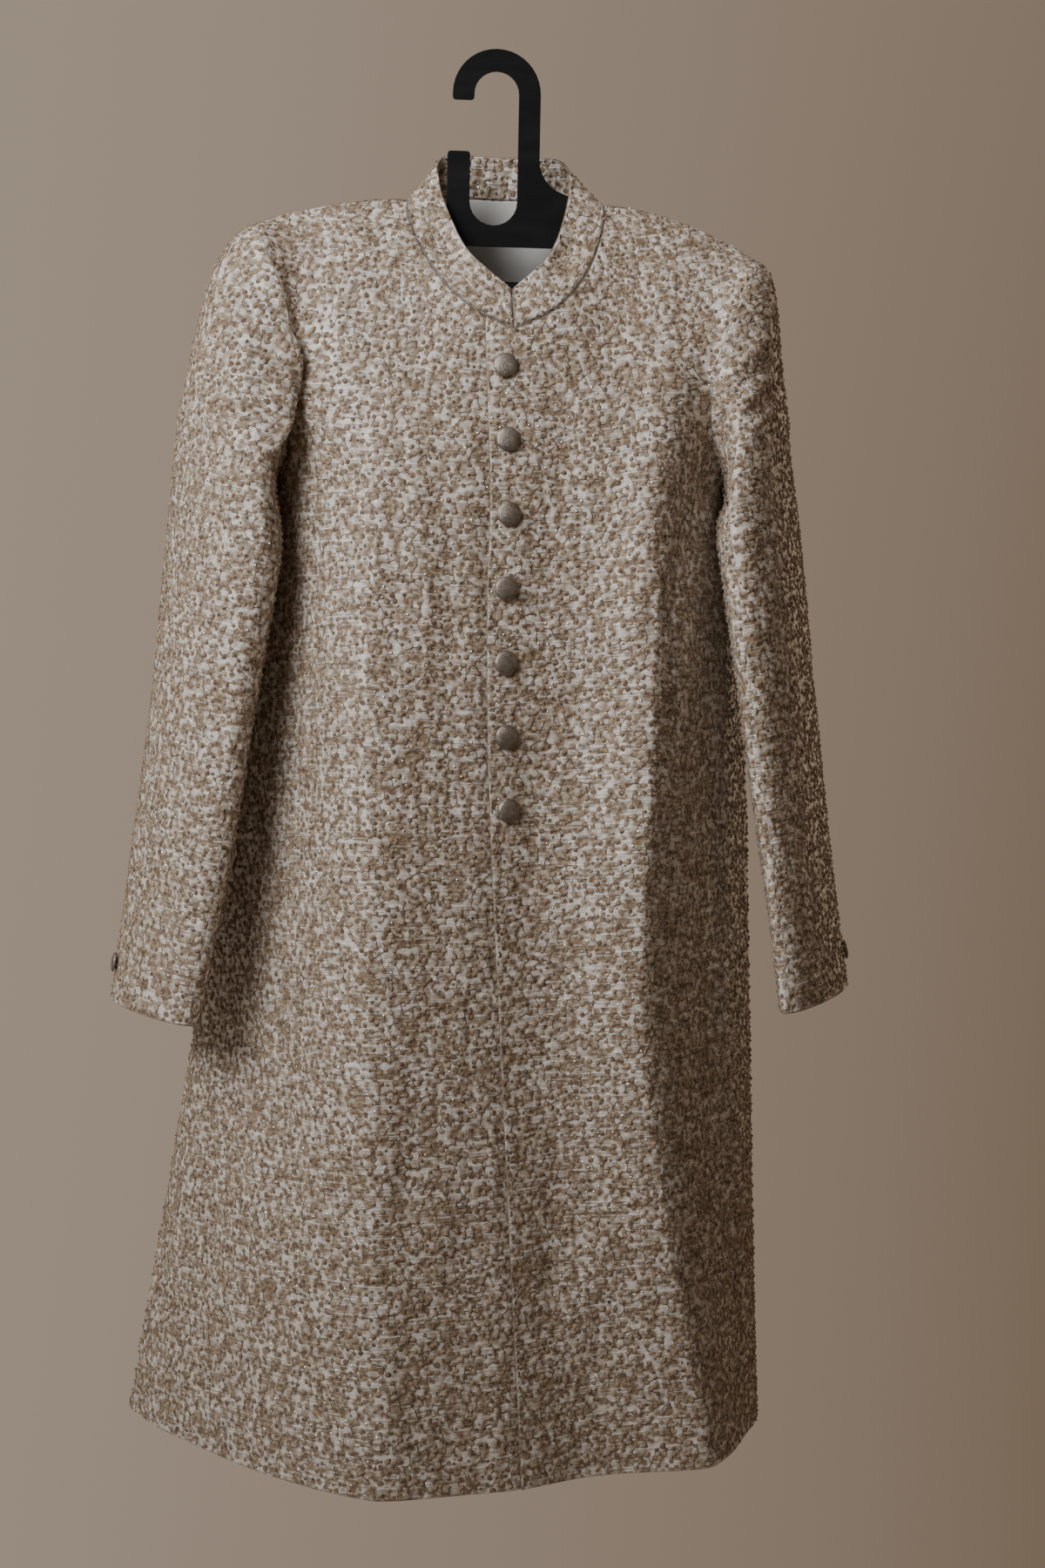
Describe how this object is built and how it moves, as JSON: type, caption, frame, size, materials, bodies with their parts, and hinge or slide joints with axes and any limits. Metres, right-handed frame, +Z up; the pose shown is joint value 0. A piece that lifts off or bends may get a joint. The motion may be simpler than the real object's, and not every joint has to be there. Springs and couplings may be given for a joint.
{
  "type": "sherwani coat on a hanger",
  "caption": "Knee-length embroidered coat with a stand collar and buttoned front, hanging from a flat plate hanger with an open hook.",
  "frame": {"origin": "underside of the hook's top, in the middle plane of the hanger's plate, where a rail carries it", "axes": "+Z up; the plate lies in the plane Y = 0; the coat's buttoned front faces -Y; the wearer's right is at -X"},
  "size_m": [0.7175, 0.3332, 1.3191],
  "materials": {
    "embroidered_silk": "champagne slub silk covered with small raised camel buds on thin brown stems, with clear ring sequins",
    "lining": "smooth pale grey lining cloth with a soft sheen",
    "antique_metal": "antique bronze, darkened in its fine relief",
    "black_plastic": "matte black moulded plastic"
  },
  "bodies": {
    "root": {"front_left": "embroidered_silk", "front_right": "embroidered_silk", "back_left": "embroidered_silk", "back_right": "embroidered_silk", "collar": "embroidered_silk", "sleeve_right_upper": "embroidered_silk", "sleeve_right_under": "embroidered_silk", "sleeve_left_upper": "embroidered_silk", "sleeve_left_under": "embroidered_silk", "lining_back": "lining", "button_front_1": "antique_metal", "button_front_2": "antique_metal", "button_front_3": "antique_metal", "button_front_4": "antique_metal", "button_front_5": "antique_metal", "button_front_6": "antique_metal", "button_front_7": "antique_metal", "button_cuff_right": "antique_metal", "button_cuff_left": "antique_metal", "hanger": "black_plastic"}
  },
  "joints": []
}
